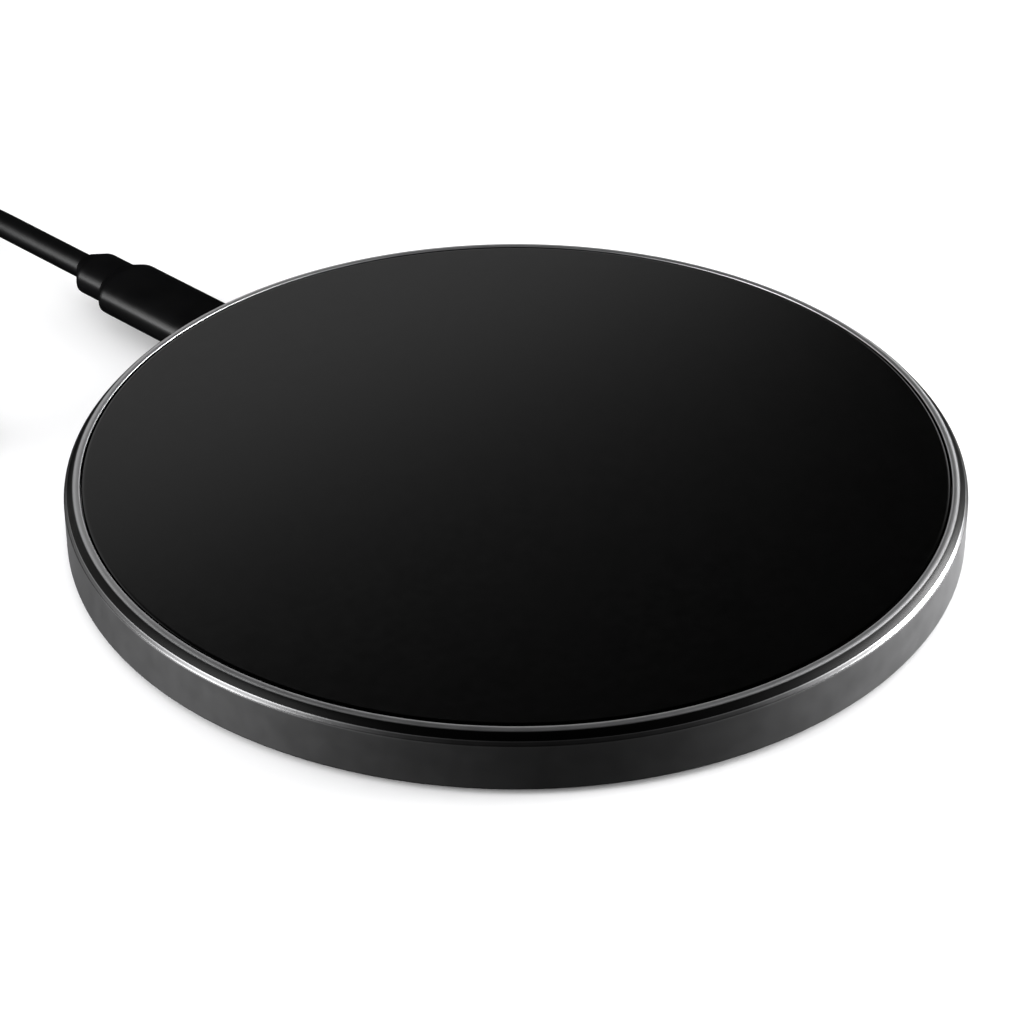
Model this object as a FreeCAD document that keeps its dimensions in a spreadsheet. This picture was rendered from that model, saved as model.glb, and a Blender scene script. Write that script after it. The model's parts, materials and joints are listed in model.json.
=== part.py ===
import FreeCAD, Part
import math
import os
import Sketcher

# Round wireless charging pad with a detachable USB lead.
# Row frame: the centre of the base on the table is the origin, +Z is up,
# +Y points to the charging socket and the lead, -Y is the front.  Millimetres.

os.makedirs("parts", exist_ok=True)
doc = FreeCAD.newDocument("wireless_charging_pad")
V = FreeCAD.Vector
UP = V(0, 0, 1)

# ---------------------------------------------------------------- dimensions

DIMENSIONS = {
    # pad envelope
    "pad_radius": 50.0,
    "pad_height": 7.4,
    "foot_gap": 0.5,
    "foot_chamfer": 0.3,
    # rim, from the outside in
    "rim_chamfer": 0.35,
    "bezel_drop": 0.9,
    "lip_outer_radius": 48.9,
    "lip_bevel": 0.12,
    "recess_radius": 48.15,
    "ledge_inner_radius": 45.5,
    "ledge_thickness": 0.85,
    "bore_radius": 47.5,
    # top plate
    "glass_radius": 48.0,
    "glass_thickness": 1.1,
    "glass_inset": 0.05,
    "glass_edge_round": 0.4,
    "adhesive_thickness": 0.2,
    "adhesive_width": 2.0,
    # bottom cover and anti-slip ring
    "cover_radius": 47.4,
    "cover_thickness": 1.6,
    "cover_chamfer": 0.25,
    "groove_inner_radius": 40.9,
    "groove_outer_radius": 46.6,
    "groove_depth": 0.5,
    "ring_gap": 0.1,
    "ring_round": 0.25,
    # screws
    "thread_diameter": 1.6,
    "screw_circle_radius": 43.75,
    "flat_head_diameter": 3.0,
    "flat_head_height": 0.7,
    "cover_screw_length": 3.2,
    "pan_head_height": 0.8,
    "board_screw_length": 2.4,
    "drive_across": 1.5,
    "drive_depth": 0.45,
    "boss_diameter": 4.0,
    "boss_web_reach": 2.6,
    "hole_clearance": 0.1,
    "hole_stop": 0.4,
    "cut_past": 1.0,
    # charging socket
    "port_height": 3.75,
    "port_gap": 0.15,
    "socket_mouth": 49.4,
    "socket_length": 7.35,
    "socket_width": 8.94,
    "socket_thickness": 3.16,
    "socket_wall": 0.3,
    "socket_base": 1.25,
    "tongue_width": 6.69,
    "tongue_thickness": 0.7,
    "tongue_recess": 1.3,
    "contact_pitch": 0.5,
    "contact_width": 0.25,
    "contact_thickness": 0.05,
    "contact_length": 3.4,
    "shell_tab_width": 1.1,
    "shell_tab_reach": 1.2,
    "shell_tab_first": 0.9,
    "shell_tab_step": 2.1,
    "contact_setback": 0.6,
    # circuit board
    "board_inner_radius": 29.0,
    "board_outer_radius": 46.8,
    "board_half_angle": 38.0,
    "board_thickness": 0.8,
    "board_top": 3.7,
    # coil stack
    "tray_radius": 27.5,
    "tray_bore_radius": 25.1,
    "tray_floor_top": 3.65,
    "tray_wall_top": 4.35,
    "tray_hole_radius": 6.0,
    "ferrite_radius": 25.0,
    "ferrite_thickness": 1.1,
    "wire_diameter": 1.0,
    "coil_inner_radius": 10.3,
    "coil_pitch": 1.17,
    "coil_turns": 10,
    "coil_angle": 20.0,
    "inner_loop_radius": 6.0,
    "lead_bend_run": 3.0,
    "lead_slot_width": 1.3,
    "inner_lead_end": 32.0,
    "outer_lead_bend": 16.2,
    "outer_lead_end": 23.5,
    "solder_from_end": 1.0,
    "foam_radius": 23.0,
    # status light
    "led_offset": 9.5,
    "led_height": 4.45,
    "light_pipe_diameter": 1.4,
    "light_pipe_inner": 45.0,
    "led_width": 1.6,
    "led_depth": 0.8,
    "led_body_height": 1.0,
    "led_gap": 0.1,
    # parts on the board
    "controller_side": 5.0,
    "controller_height": 0.85,
    "mosfet_side": 3.3,
    "mosfet_height": 0.9,
    "resonant_cap_radial": 3.2,
    "resonant_cap_across": 2.5,
    "resonant_cap_height": 1.8,
    "input_cap_radial": 1.6,
    "input_cap_across": 3.2,
    "input_cap_height": 1.6,
    "inductor_side": 4.2,
    "inductor_flange": 0.5,
    "inductor_core_radius": 1.7,
    "inductor_core_height": 1.3,
    "resistor_radial": 1.6,
    "resistor_across": 0.8,
    "resistor_height": 0.45,
    "solder_foot_radius": 1.4,
    "solder_top_radius": 0.6,
    "solder_height": 1.3,
    # charging plug on the lead
    "plug_tip": 43.75,
    "plug_shell_width": 8.25,
    "plug_shell_thickness": 2.4,
    "plug_shell_wall": 0.3,
    "plug_shell_bury": 4.0,
    "plug_slot_width": 7.15,
    "plug_slot_thickness": 1.0,
    "plug_slot_depth": 4.6,
    "plug_body_front": 50.3,
    "plug_body_shoulder": 64.8,
    "plug_body_rear": 66.0,
    "plug_body_width": 9.2,
    "plug_body_thickness": 5.0,
    "plug_neck_shoulder": 70.3,
    "plug_neck_rear": 72.0,
    "plug_neck_width": 6.6,
    "plug_neck_thickness": 4.4,
    "plug_mouth_round": 0.25,
    "plug_contact_setback": 0.5,
    # lead
    "cord_diameter": 3.2,
    "cord_bury": 6.0,
    "cord_level_end": 93.0,
    "cord_table_start": 104.0,
    "cord_run_end": 120.0,
    "coil_middle_radius": 17.3,
    "coil_centre_along": 124.0,
    "tail_level_end": 110.0,
    "tail_slope_end": 102.0,
    "coil_corner": 1.2,
    "tie_thickness": 0.8,
    "tie_stand_out": 0.4,
    "tie_width": 9.0,
    # computer end of the lead
    "usb_a_height": 4.0,
    "usb_a_body_width": 15.6,
    "usb_a_body_thickness": 8.0,
    "usb_a_body_length": 18.0,
    "usb_a_body_rear": 90.0,
    "usb_a_relief_length": 8.0,
    "usb_a_relief_front_diameter": 6.4,
    "usb_a_relief_rear_diameter": 4.2,
    "usb_a_shell_width": 12.0,
    "usb_a_shell_thickness": 4.5,
    "usb_a_shell_wall": 0.32,
    "usb_a_shell_exposed": 14.5,
    "usb_a_shell_bury": 4.0,
    "usb_a_tongue_thickness": 1.9,
    "usb_a_contact_width": 1.0,
    "usb_a_contact_length": 8.0,
    "usb_a_contact_thickness": 0.2,
    "usb_a_contact_pitch": 2.25,
    "usb_a_contact_setback": 1.4,
    "usb_a_tongue_setback": 0.4,
    "usb_a_mouth_bevel": 0.3,
    "usb_a_shoulder": 2.0,
    "usb_a_rear_width": 11.6,
    "usb_a_rear_thickness": 6.8,
    "latch_side": 2.3,
    "latch_offset": 3.0,
    "latch_setback": 5.2,
}

sheet = doc.addObject("Spreadsheet::Sheet", "dims")
for row, (alias, number) in enumerate(DIMENSIONS.items(), start=1):
    sheet.set(f"A{row}", alias)
    sheet.set(f"B{row}", str(number))
    sheet.setAlias(f"B{row}", alias)
doc.recompute()

# Levels and radii that several pieces share, written once as expressions.
COVER_TOP = "(dims.foot_gap + dims.cover_thickness)"
GROOVE_TOP = "(dims.foot_gap + dims.groove_depth)"
GLASS_TOP = "(dims.pad_height - dims.glass_inset)"
GLASS_BOTTOM = f"({GLASS_TOP} - dims.glass_thickness)"
LEDGE_TOP = f"({GLASS_BOTTOM} - dims.adhesive_thickness)"
LEDGE_BOTTOM = f"({LEDGE_TOP} - dims.ledge_thickness)"
FERRITE_TOP = "(dims.tray_floor_top + dims.ferrite_thickness)"
COIL_LEVEL = f"({FERRITE_TOP} + dims.wire_diameter / 2)"
LEAD_LEVEL = "(dims.board_top + dims.wire_diameter / 2)"
BOARD_BOTTOM = "(dims.board_top - dims.board_thickness)"
SOCKET_BACK = "(dims.socket_mouth - dims.socket_length)"
SOCKET_BASE_FRONT = f"({SOCKET_BACK} + dims.socket_base)"
SOCKET_INNER_WIDTH = "(dims.socket_width - 2 * dims.socket_wall)"
SOCKET_INNER_THICKNESS = "(dims.socket_thickness - 2 * dims.socket_wall)"
PLUG_SHELL_REAR = "(dims.plug_body_front + dims.plug_shell_bury)"
PLUG_INNER_WIDTH = "(dims.plug_shell_width - 2 * dims.plug_shell_wall)"
PLUG_INNER_THICKNESS = "(dims.plug_shell_thickness - 2 * dims.plug_shell_wall)"
OUTER_TURN = "(dims.coil_middle_radius + dims.cord_diameter)"
USB_A_FRONT = "(dims.usb_a_body_rear - dims.usb_a_body_length)"


def size(expression):
    """Value of an expression over the sheet."""
    return float(sheet.evalExpression(expression))


def bind(item, **expressions):
    """Bind properties of an object to expressions over the sheet."""
    for name, expression in expressions.items():
        item.setExpression(name, expression)
    return item


# -------------------------------------------------------------- sketch helpers


def new_body(name):
    """An empty PartDesign body with its label."""
    body = doc.addObject("PartDesign::Body", name)
    body.Label = name
    return body


def new_sketch(body, role, offset="0", turn=0.0):
    """A sketch on an origin plane, moved along its normal and turned in its plane."""
    plane = next(item for item in body.Origin.OriginFeatures if item.Role == role)
    sketch = body.newObject("Sketcher::SketchObject", f"{body.Name}_sketch")
    sketch.AttachmentSupport = (plane, [""])
    sketch.MapMode = "FlatFace"
    sketch.AttachmentOffset = FreeCAD.Placement(V(), FreeCAD.Rotation(UP, turn))
    sketch.setExpression("AttachmentOffset.Base.z", offset)
    return sketch


def pin_point(sketch, shape, vertex, across, up):
    """Fix one point of a sketch by two distances from the sketch origin."""
    for kind, expression in (("DistanceX", across), ("DistanceY", up)):
        index = sketch.addConstraint(
            Sketcher.Constraint(kind, -1, 1, shape, vertex, size(expression))
        )
        sketch.setExpression(f"Constraints[{index}]", expression)


def draw_polygon(sketch, corners):
    """A closed outline through corners given as pairs of expressions."""
    places = [V(size(across), size(up), 0) for across, up in corners]
    first = sketch.GeometryCount
    count = len(corners)
    for index in range(count):
        sketch.addGeometry(Part.LineSegment(places[index], places[(index + 1) % count]))
    for index in range(count):
        shape = first + index
        following = first + (index + 1) % count
        sketch.addConstraint(Sketcher.Constraint("Coincident", shape, 2, following, 1))
        pin_point(sketch, shape, 1, *corners[index])


def draw_circle(sketch, diameter, across="0", up="0"):
    """A circle with its diameter and centre given as expressions."""
    centre = V(size(across), size(up), 0)
    shape = sketch.addGeometry(Part.Circle(centre, UP, size(diameter) / 2))
    index = sketch.addConstraint(Sketcher.Constraint("Diameter", shape, size(diameter)))
    sketch.setExpression(f"Constraints[{index}]", diameter)
    pin_point(sketch, shape, 3, across, up)


def draw_slot(sketch, width, thickness, across="0", up="0"):
    """A flat slot with round ends: two arcs joined by two tangent lines."""
    radius = size(thickness) / 2
    reach = (size(width) - size(thickness)) / 2
    right = V(size(across) + reach, size(up), 0)
    left = V(size(across) - reach, size(up), 0)
    rise = V(0, radius, 0)
    quarter = math.pi / 2
    right_arc = sketch.addGeometry(
        Part.ArcOfCircle(Part.Circle(right, UP, radius), -quarter, quarter)
    )
    left_arc = sketch.addGeometry(
        Part.ArcOfCircle(Part.Circle(left, UP, radius), quarter, 3 * quarter)
    )
    upper = sketch.addGeometry(Part.LineSegment(right + rise, left + rise))
    lower = sketch.addGeometry(Part.LineSegment(left - rise, right - rise))
    joints = (
        (right_arc, 2, upper, 1),
        (upper, 2, left_arc, 1),
        (left_arc, 2, lower, 1),
        (lower, 2, right_arc, 1),
    )
    for joint in joints:
        sketch.addConstraint(Sketcher.Constraint("Tangent", *joint))
    sketch.addConstraint(Sketcher.Constraint("Equal", right_arc, left_arc))
    index = sketch.addConstraint(Sketcher.Constraint("Radius", right_arc, radius))
    sketch.setExpression(f"Constraints[{index}]", f"({thickness}) / 2")
    half = f"(({width}) - ({thickness})) / 2"
    pin_point(sketch, right_arc, 3, f"{across} + {half}", up)
    pin_point(sketch, left_arc, 3, f"{across} - {half}", up)


def turned_body(name, corners):
    """A body of revolution about Z from its half outline as (radius, height)."""
    body = new_body(name)
    sketch = new_sketch(body, "XZ_Plane")
    draw_polygon(sketch, corners)
    turn = body.newObject("PartDesign::Revolution", f"{name}_turned")
    turn.Profile = sketch
    turn.ReferenceAxis = (sketch, ["V_Axis"])
    turn.Angle = 360
    doc.recompute()
    return body


def add_pad(body, sketch, length, backwards=False):
    """Extrude a sketch into a body."""
    pad = body.newObject("PartDesign::Pad", f"{body.Name}_pad")
    pad.Profile = sketch
    pad.Reversed = backwards
    return bind(pad, Length=length)


def add_pocket(body, sketch, depth, backwards=False):
    """Cut a sketch out of a body and make sure that something was cut."""
    doc.recompute()
    before = body.Shape.Volume
    pocket = body.newObject("PartDesign::Pocket", f"{body.Name}_pocket")
    pocket.Profile = sketch
    pocket.Reversed = backwards
    bind(pocket, Length=depth)
    doc.recompute()
    if body.Shape.Volume > before * (1 - 1e-9):
        raise RuntimeError(f"a pocket of {body.Name} removed nothing")
    return pocket


def add_polar_pattern(body, features, count):
    """Repeat features evenly about the Z axis of a body."""
    pattern = body.newObject("PartDesign::PolarPattern", f"{body.Name}_pattern")
    pattern.Originals = features
    axis = next(item for item in body.Origin.OriginFeatures if item.Role == "Z_Axis")
    pattern.Axis = (axis, [""])
    pattern.Angle = 360
    pattern.Occurrences = count
    body.Tip = pattern
    doc.recompute()


def slot_prism(name, start, end, width, thickness, up):
    """A flat slot section run along +Y from start to end."""
    body = new_body(name)
    sketch = new_sketch(body, "XZ_Plane", f"-({start})")
    draw_slot(sketch, width, thickness, up=up)
    add_pad(body, sketch, f"({end}) - ({start})", backwards=True)
    doc.recompute()
    return body


def slot_pocket(body, start, depth, width, thickness, up):
    """Cut a flat slot section along +Y, starting at the given place."""
    sketch = new_sketch(body, "XZ_Plane", f"-({start})")
    draw_slot(sketch, width, thickness, up=up)
    return add_pocket(body, sketch, depth)


def round_pocket(body, start, depth, diameter, across, up):
    """Cut a round hole along +Y, starting at the given place."""
    sketch = new_sketch(body, "XZ_Plane", f"-({start})")
    draw_circle(sketch, diameter, across, up)
    return add_pocket(body, sketch, depth)


def slot_loft(name, sections, up):
    """Straight-sided skin over flat slots given as (place along Y, width, thickness)."""
    body = new_body(name)
    sketches = []
    for along, width, thickness in sections:
        sketch = new_sketch(body, "XZ_Plane", f"-({along})")
        draw_slot(sketch, width, thickness, up=up)
        sketches.append(sketch)
    loft = body.newObject("PartDesign::AdditiveLoft", f"{name}_loft")
    loft.Profile = sketches[0]
    loft.Sections = sketches[1:]
    loft.Ruled = True
    doc.recompute()
    return body


# ------------------------------------------------------------- solid helpers


def make_box(name, length, width, height, place=None, turn=0.0):
    """A box with bound edges, standing on the given corner place."""
    item = doc.addObject("Part::Box", name)
    bind(item, Length=length, Width=width, Height=height)
    item.Placement = FreeCAD.Placement(place or V(), FreeCAD.Rotation(UP, turn))
    return item


def make_cylinder(name, radius, height, place=None, rotation=None):
    """A cylinder with bound sizes, standing on the given place."""
    item = doc.addObject("Part::Cylinder", name)
    bind(item, Radius=radius, Height=height)
    item.Placement = FreeCAD.Placement(place or V(), rotation or FreeCAD.Rotation())
    return item


def make_cone(name, lower_radius, upper_radius, height, place=None, rotation=None):
    """A cone frustum with bound sizes, standing on the given place."""
    item = doc.addObject("Part::Cone", name)
    bind(item, Radius1=lower_radius, Radius2=upper_radius, Height=height)
    item.Placement = FreeCAD.Placement(place or V(), rotation or FreeCAD.Rotation())
    return item


def join(name, pieces):
    """One fused object from several."""
    item = doc.addObject("Part::MultiFuse", name)
    item.Shapes = pieces
    doc.recompute()
    return item


def cut(name, base, tool):
    """Base less tool."""
    item = doc.addObject("Part::Cut", name)
    item.Base = base
    item.Tool = tool
    doc.recompute()
    return item


def group(name, pieces):
    """Several separate solids kept as one node."""
    item = doc.addObject("Part::Compound", name)
    item.Links = pieces
    doc.recompute()
    return item


def polar(radius, angle, height):
    """Place at a radius and an angle in degrees about the pad's axis."""
    turn = math.radians(angle)
    return V(radius * math.cos(turn), radius * math.sin(turn), height)


def board_box(name, radial, tangential, height, radius, angle, level="dims.board_top"):
    """A box on the board, centred at a polar place with its sides along and across it."""
    turn = FreeCAD.Rotation(UP, angle)
    corner = turn.multVec(V(-size(radial) / 2, -size(tangential) / 2, 0))
    place = polar(radius, angle, size(level)) + corner
    return make_box(name, radial, tangential, height, place, angle)


# ---------------------------------------------------------------- pad housing

housing = turned_body(
    "housing_ring",
    [
        ("dims.bore_radius", "dims.foot_gap"),
        ("dims.pad_radius - dims.foot_chamfer", "dims.foot_gap"),
        ("dims.pad_radius", "dims.foot_gap + dims.foot_chamfer"),
        ("dims.pad_radius", "dims.pad_height - dims.bezel_drop - dims.rim_chamfer"),
        ("dims.pad_radius - dims.rim_chamfer", "dims.pad_height - dims.bezel_drop"),
        ("dims.lip_outer_radius", "dims.pad_height"),
        ("dims.recess_radius + dims.lip_bevel", "dims.pad_height"),
        ("dims.recess_radius", "dims.pad_height - dims.lip_bevel"),
        ("dims.recess_radius", LEDGE_TOP),
        ("dims.ledge_inner_radius", LEDGE_TOP),
        ("dims.ledge_inner_radius", LEDGE_BOTTOM),
        ("dims.bore_radius", LEDGE_BOTTOM),
    ],
)

SCREW_COUNT = 4
FIRST_SCREW_ANGLE = 45.0

boss_sketch = new_sketch(housing, "XY_Plane", COVER_TOP, FIRST_SCREW_ANGLE)
BOSS_WIDTH = "(dims.boss_diameter + dims.boss_web_reach)"
draw_slot(
    boss_sketch,
    BOSS_WIDTH,
    "dims.boss_diameter",
    across="dims.screw_circle_radius + dims.boss_web_reach / 2",
)
boss = add_pad(housing, boss_sketch, f"{LEDGE_BOTTOM} - {COVER_TOP}")
boss_hole_sketch = new_sketch(housing, "XY_Plane", COVER_TOP, FIRST_SCREW_ANGLE)
draw_circle(boss_hole_sketch, "dims.thread_diameter", "dims.screw_circle_radius")
boss_hole = add_pocket(
    housing, boss_hole_sketch, f"{LEDGE_BOTTOM} - {COVER_TOP} - dims.hole_stop", backwards=True
)
add_polar_pattern(housing, [boss, boss_hole], SCREW_COUNT)

slot_pocket(
    housing,
    "dims.ledge_inner_radius - dims.cut_past",
    "dims.pad_radius - dims.ledge_inner_radius + 2 * dims.cut_past",
    "dims.socket_width + 2 * dims.port_gap",
    "dims.socket_thickness + 2 * dims.port_gap",
    "dims.port_height",
)
round_pocket(
    housing,
    "dims.light_pipe_inner",
    "dims.pad_radius - dims.light_pipe_inner",
    "dims.light_pipe_diameter",
    "dims.led_offset",
    "dims.led_height",
)

# ------------------------------------------------------------------ top plate

glass = turned_body(
    "top_glass",
    [
        ("0", GLASS_BOTTOM),
        ("dims.glass_radius", GLASS_BOTTOM),
        ("dims.glass_radius", GLASS_TOP),
        ("0", GLASS_TOP),
    ],
)
top_edges = [
    f"Edge{number}"
    for number, edge in enumerate(glass.Shape.Edges, start=1)
    if edge.Closed and abs(edge.CenterOfMass.z - size(GLASS_TOP)) < 1e-6
]
glass_blank = glass.Tip
glass_round = glass.newObject("PartDesign::Fillet", "top_glass_round")
glass_round.Base = (glass_blank, top_edges)
bind(glass_round, Radius="dims.glass_edge_round")
glass.Tip = glass_round

adhesive = turned_body(
    "glass_adhesive_ring",
    [
        ("dims.glass_radius - dims.adhesive_width", LEDGE_TOP),
        ("dims.glass_radius - dims.ring_gap", LEDGE_TOP),
        ("dims.glass_radius - dims.ring_gap", GLASS_BOTTOM),
        ("dims.glass_radius - dims.adhesive_width", GLASS_BOTTOM),
    ],
)

# --------------------------------------------------------------------- screws


def thread_hole(name, length, radius, angle, level):
    """Screw shank or its hole: a cylinder at a polar place."""
    place = polar(size(radius), angle, size(level))
    return make_cylinder(name, "dims.thread_diameter / 2", length, place)


def flat_screw(name, angle, clearance):
    """Countersunk screw pointing up out of the groove of the cover."""
    place = polar(size("dims.screw_circle_radius"), angle, size(GROOVE_TOP))
    head = make_cone(
        f"{name}_head",
        f"dims.flat_head_diameter / 2 + {clearance}",
        f"dims.thread_diameter / 2 + {clearance}",
        "dims.flat_head_height",
        place,
    )
    shank = make_cylinder(
        f"{name}_shank",
        f"dims.thread_diameter / 2 + {clearance}",
        "dims.cover_screw_length",
        place,
    )
    return join(name, [head, shank])


screw_angles = [
    FIRST_SCREW_ANGLE + step * 360.0 / SCREW_COUNT for step in range(SCREW_COUNT)
]
cover_screws = []
screw_clearance = []
for number, angle in enumerate(screw_angles, start=1):
    blank = flat_screw(f"cover_screw_blank_{number}", angle, "0")
    place = polar(size("dims.screw_circle_radius"), angle, size(GROOVE_TOP))
    drive = doc.addObject("Part::Prism", f"cover_screw_drive_{number}")
    bind(drive, Circumradius="dims.drive_across / 2", Height="dims.drive_depth")
    drive.Placement = FreeCAD.Placement(place, FreeCAD.Rotation())
    cover_screws.append(cut(f"cover_screw_{number}", blank, drive))
    screw_clearance.append(
        flat_screw(f"cover_screw_hole_{number}", angle, "dims.hole_clearance / 2")
    )

# Places of the three board screws as (radius, angle).
BOARD_SCREWS = ((33.5, 56.5), (31.3, 90.0), (33.5, 123.5))

board_screws = []
board_screw_holes = []
for number, (radius, angle) in enumerate(BOARD_SCREWS, start=1):
    top = polar(radius, angle, size("dims.board_top"))
    foot = polar(radius, angle, size("dims.board_top - dims.board_screw_length"))
    head = make_cylinder(
        f"board_screw_head_{number}",
        "dims.flat_head_diameter / 2",
        "dims.pan_head_height",
        top,
    )
    shank = make_cylinder(
        f"board_screw_shank_{number}",
        "dims.thread_diameter / 2",
        "dims.board_screw_length",
        foot,
    )
    drive = doc.addObject("Part::Prism", f"board_screw_drive_{number}")
    bind(drive, Circumradius="dims.drive_across / 2", Height="dims.drive_depth")
    drive_floor = size("dims.board_top + dims.pan_head_height - dims.drive_depth")
    drive.Placement = FreeCAD.Placement(
        polar(radius, angle, drive_floor), FreeCAD.Rotation()
    )
    blank = join(f"board_screw_blank_{number}", [head, shank])
    board_screws.append(cut(f"board_screw_{number}", blank, drive))
    board_screw_holes.append(
        make_cylinder(
            f"board_screw_hole_{number}",
            "dims.thread_diameter / 2",
            "dims.board_screw_length",
            foot,
        )
    )

cover_screw_node = group("cover_screws", cover_screws)
board_screw_node = group("board_screws", board_screws)

# --------------------------------------------------------------- bottom cover

cover_body = turned_body(
    "cover_plate",
    [
        ("0", "dims.foot_gap"),
        ("dims.groove_inner_radius", "dims.foot_gap"),
        ("dims.groove_inner_radius", GROOVE_TOP),
        ("dims.groove_outer_radius", GROOVE_TOP),
        ("dims.groove_outer_radius", "dims.foot_gap"),
        ("dims.cover_radius - dims.cover_chamfer", "dims.foot_gap"),
        ("dims.cover_radius", "dims.foot_gap + dims.cover_chamfer"),
        ("dims.cover_radius", COVER_TOP),
        ("0", COVER_TOP),
    ],
)
for radius, angle in BOARD_SCREWS:
    standoff_sketch = new_sketch(cover_body, "XY_Plane", COVER_TOP, angle)
    draw_circle(standoff_sketch, "dims.boss_diameter", str(radius))
    add_pad(cover_body, standoff_sketch, f"{BOARD_BOTTOM} - {COVER_TOP}")
cover_holes = join("cover_holes", screw_clearance + board_screw_holes)
cover = cut("bottom_cover", cover_body, cover_holes)

slip_ring = turned_body(
    "anti_slip_ring",
    [
        ("dims.groove_inner_radius + dims.ring_gap + dims.ring_round", "0"),
        ("dims.groove_outer_radius - dims.ring_gap - dims.ring_round", "0"),
        ("dims.groove_outer_radius - dims.ring_gap", "dims.ring_round"),
        ("dims.groove_outer_radius - dims.ring_gap", GROOVE_TOP),
        ("dims.groove_inner_radius + dims.ring_gap", GROOVE_TOP),
        ("dims.groove_inner_radius + dims.ring_gap", "dims.ring_round"),
    ],
)

# ------------------------------------------------------------ charging socket

socket_shell_body = slot_prism(
    "socket_shell_tube",
    SOCKET_BACK,
    "dims.socket_mouth",
    "dims.socket_width",
    "dims.socket_thickness",
    "dims.port_height",
)
slot_pocket(
    socket_shell_body,
    f"{SOCKET_BACK} - dims.cut_past",
    "dims.socket_length + 2 * dims.cut_past",
    SOCKET_INNER_WIDTH,
    SOCKET_INNER_THICKNESS,
    "dims.port_height",
)
# Four solder tabs lie on the board on both sides of the tube.
TAB_REACH = "(dims.shell_tab_reach + dims.socket_wall / 2)"
tab_inner = size("dims.socket_width / 2 - dims.socket_wall / 2")
socket_tabs = []
for number in range(2):
    tab_start = size(f"{SOCKET_BACK} + dims.shell_tab_first + {number} * dims.shell_tab_step")
    for side, corner_x in (("left", -tab_inner - size(TAB_REACH)), ("right", tab_inner)):
        place = V(corner_x, tab_start, size("dims.board_top"))
        socket_tabs.append(
            make_box(
                f"socket_tab_{side}_{number + 1}",
                TAB_REACH,
                "dims.shell_tab_width",
                "dims.socket_wall",
                place,
            )
        )
socket_shell = join("socket_shell", [socket_shell_body] + socket_tabs)

socket_insulator = slot_prism(
    "socket_insulator",
    SOCKET_BACK,
    SOCKET_BASE_FRONT,
    SOCKET_INNER_WIDTH,
    SOCKET_INNER_THICKNESS,
    "dims.port_height",
)
tongue_sketch = new_sketch(socket_insulator, "XZ_Plane", f"-({SOCKET_BASE_FRONT})")
TONGUE_LOW = "dims.port_height - dims.tongue_thickness / 2"
TONGUE_HIGH = "dims.port_height + dims.tongue_thickness / 2"
draw_polygon(
    tongue_sketch,
    [
        ("-dims.tongue_width / 2", TONGUE_LOW),
        ("dims.tongue_width / 2", TONGUE_LOW),
        ("dims.tongue_width / 2", TONGUE_HIGH),
        ("-dims.tongue_width / 2", TONGUE_HIGH),
    ],
)
add_pad(
    socket_insulator,
    tongue_sketch,
    f"dims.socket_mouth - dims.tongue_recess - {SOCKET_BASE_FRONT}",
    backwards=True,
)

CONTACT_COUNT = 12


def contact_rows(name, along, levels, count, pitch, width, length, thickness, centre=0.0):
    """Rows of flat contacts side by side, one row at each level."""
    contacts = []
    for row, level in enumerate(levels, start=1):
        for column in range(count):
            offset = (column - (count - 1) / 2) * size(pitch)
            corner = V(centre + offset - size(width) / 2, along, level)
            contacts.append(
                make_box(f"{name}_{row}_{column + 1}", width, length, thickness, corner)
            )
    return group(name, contacts)


socket_contacts = contact_rows(
    "socket_contacts",
    size(f"{SOCKET_BASE_FRONT} + dims.contact_setback"),
    (size(TONGUE_HIGH), size(f"{TONGUE_LOW} - dims.contact_thickness")),
    CONTACT_COUNT,
    "dims.contact_pitch",
    "dims.contact_width",
    "dims.contact_length",
    "dims.contact_thickness",
)

# -------------------------------------------------------------- circuit board

BOARD_MIDDLE_ANGLE = 90.0
BOARD_HEIGHT = size(BOARD_BOTTOM)
board_start = BOARD_MIDDLE_ANGLE - size("dims.board_half_angle")
board_disc = make_cylinder(
    "board_disc",
    "dims.board_outer_radius",
    "dims.board_thickness",
    V(0, 0, BOARD_HEIGHT),
    FreeCAD.Rotation(UP, board_start),
)
bind(board_disc, Angle="2 * dims.board_half_angle")
board_bore = make_cylinder(
    "board_bore",
    "dims.board_inner_radius",
    "dims.board_thickness",
    V(0, 0, BOARD_HEIGHT),
)
BOARD_NOTCH_WIDTH = "(dims.socket_width + 2 * dims.ring_gap)"
board_notch = make_box(
    "board_notch",
    BOARD_NOTCH_WIDTH,
    "dims.socket_length + 2 * dims.cut_past",
    "dims.board_thickness",
    V(-size(BOARD_NOTCH_WIDTH) / 2, size(f"{SOCKET_BACK} - dims.port_gap"), BOARD_HEIGHT),
)
board_tool = join("board_tool", [board_bore, board_notch] + board_screw_holes)
board = cut("circuit_board", board_disc, board_tool)



def board_parts(name, kind, places, sides=("side", "side")):
    """Equal boxes of one kind on the board, sized by that kind's cells."""
    return group(
        name,
        [
            board_box(
                f"{kind}_{number}",
                f"dims.{kind}_{sides[0]}",
                f"dims.{kind}_{sides[1]}",
                f"dims.{kind}_height",
                radius,
                angle,
            )
            for number, (radius, angle) in enumerate(places, start=1)
        ],
    )


SIDES = ("radial", "across")

# The places below are (radius, angle) on the board.
controller = board_parts("controller_chip", "controller", [(38.0, 90.0)])
mosfets = board_parts(
    "bridge_mosfets", "mosfet", [(38.3, 69.0), (38.3, 76.0), (42.6, 65.0), (42.6, 71.5)]
)
resonant_capacitors = board_parts(
    "resonant_capacitors",
    "resonant_cap",
    [(37.5, 103.5 + 5.5 * step) for step in range(4)],
    SIDES,
)
input_capacitors = board_parts(
    "input_capacitors", "input_cap", [(43.4, 102.5), (43.4, 107.5)], SIDES
)
chip_resistors = board_parts(
    "chip_resistors",
    "resistor",
    [(33.9, 90.0 + offset) for offset in (-20, -16, -12, -8, 8, 12, 16)],
    SIDES,
)

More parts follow.
